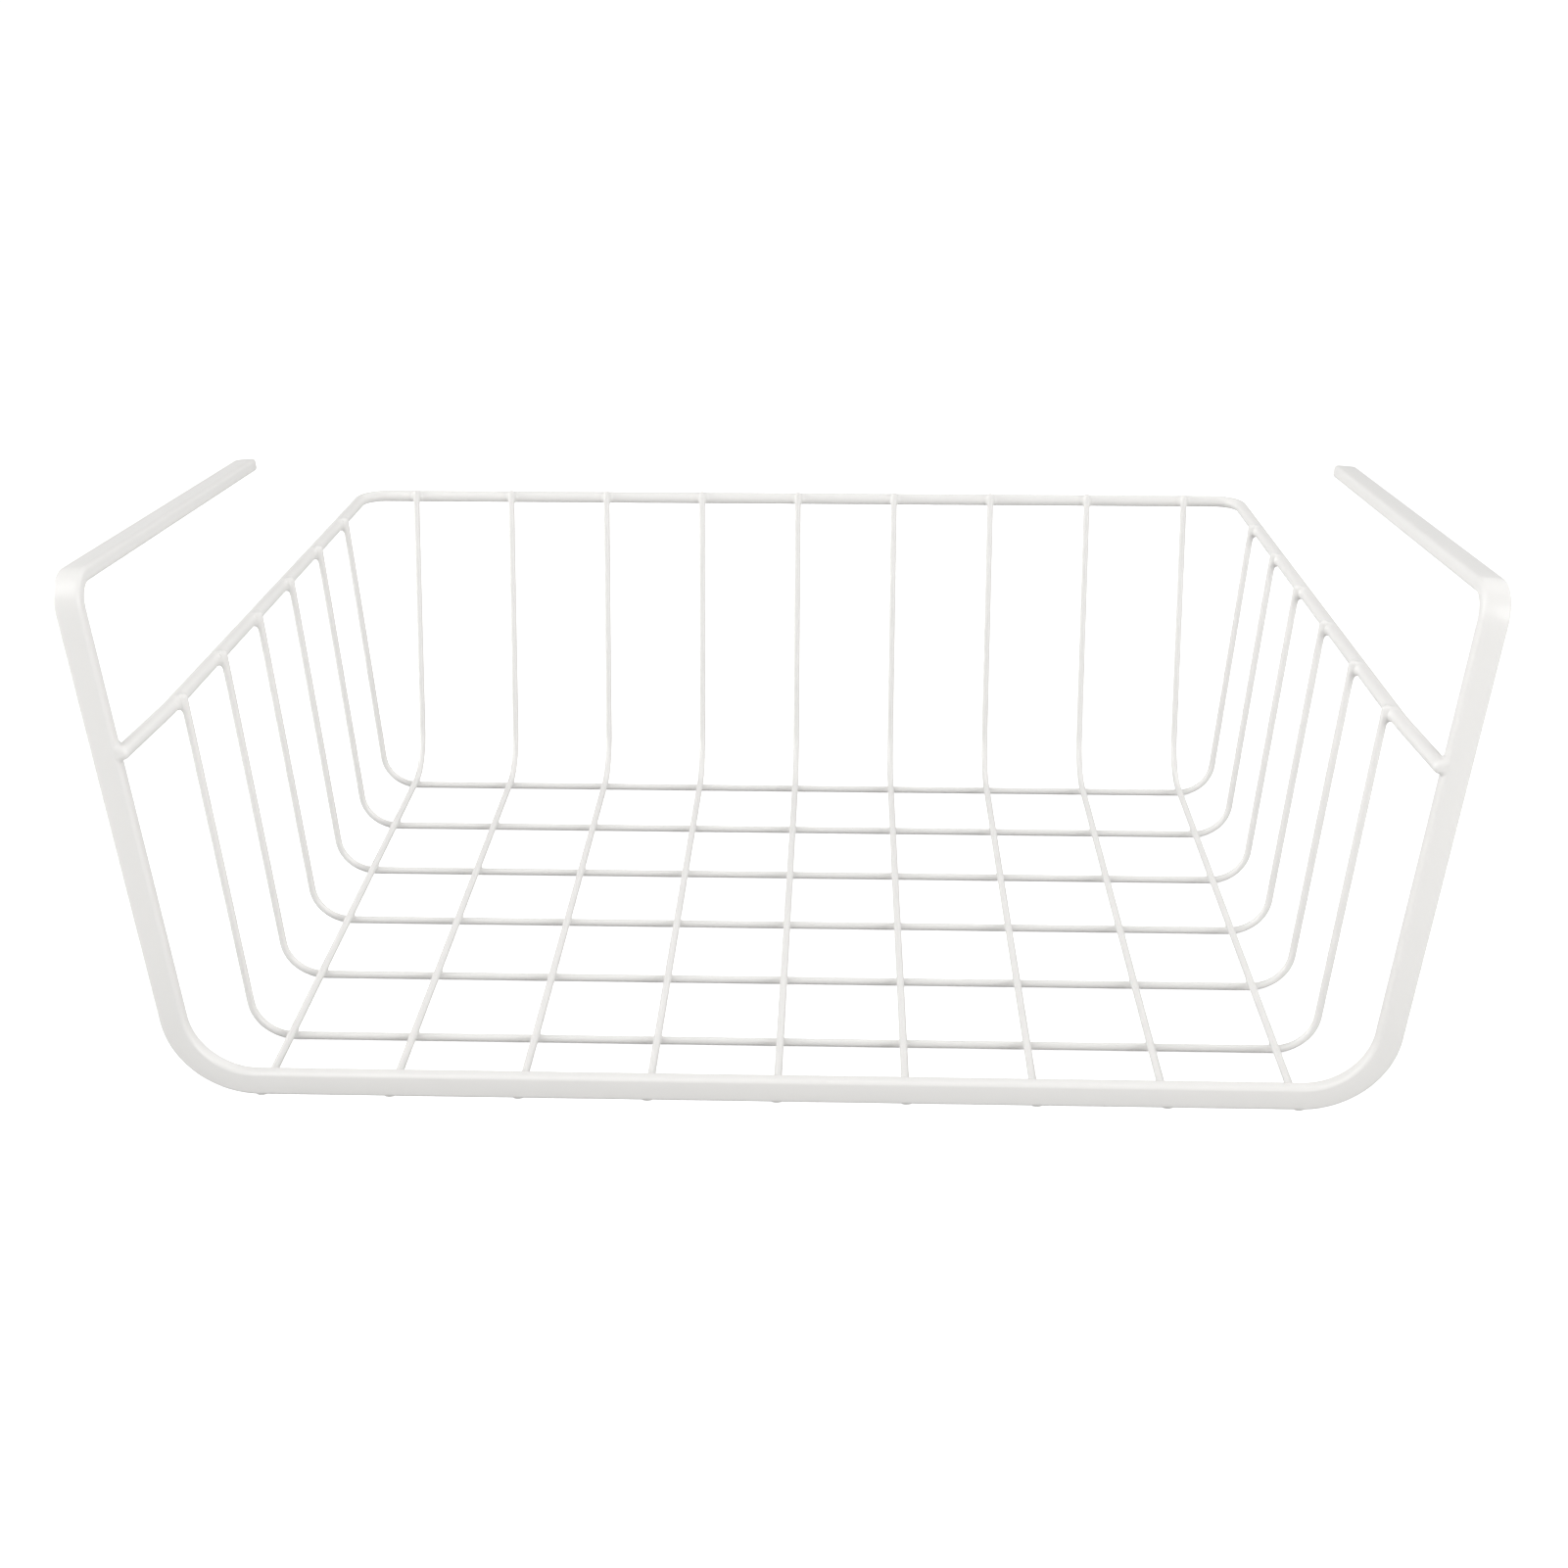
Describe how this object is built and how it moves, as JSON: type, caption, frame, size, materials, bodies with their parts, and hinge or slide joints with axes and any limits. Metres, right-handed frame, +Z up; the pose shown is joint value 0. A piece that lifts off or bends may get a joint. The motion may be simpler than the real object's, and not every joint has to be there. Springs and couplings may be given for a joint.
{
  "type": "under shelf basket",
  "caption": "Open-fronted wire basket with two flat-bar arms that slide over a shelf board so that the basket hangs below it.",
  "frame": {"origin": "middle of the overall bounding box at the height of the lowest wires, so the basket stands on its floor on z = 0", "axes": "+X to the right as seen from the open front, +Y from the open front to the back, +Z up"},
  "size_m": [0.4, 0.2894, 0.1729],
  "materials": {
    "flat_bar_coating": "white semi-gloss coating on flat steel bar",
    "rim_coating": "white semi-gloss coating on thick steel wire",
    "mesh_coating": "white semi-gloss coating on thin steel wire"
  },
  "bodies": {
    "root": {"front_frame": "flat_bar_coating", "rim_wire": "rim_coating", "lengthwise_wire_1": "mesh_coating", "lengthwise_wire_2": "mesh_coating", "lengthwise_wire_3": "mesh_coating", "lengthwise_wire_4": "mesh_coating", "lengthwise_wire_5": "mesh_coating", "lengthwise_wire_6": "mesh_coating", "lengthwise_wire_7": "mesh_coating", "lengthwise_wire_8": "mesh_coating", "lengthwise_wire_9": "mesh_coating", "cross_wire_1": "mesh_coating", "cross_wire_2": "mesh_coating", "cross_wire_3": "mesh_coating", "cross_wire_4": "mesh_coating", "cross_wire_5": "mesh_coating", "cross_wire_6": "mesh_coating"}
  },
  "joints": []
}
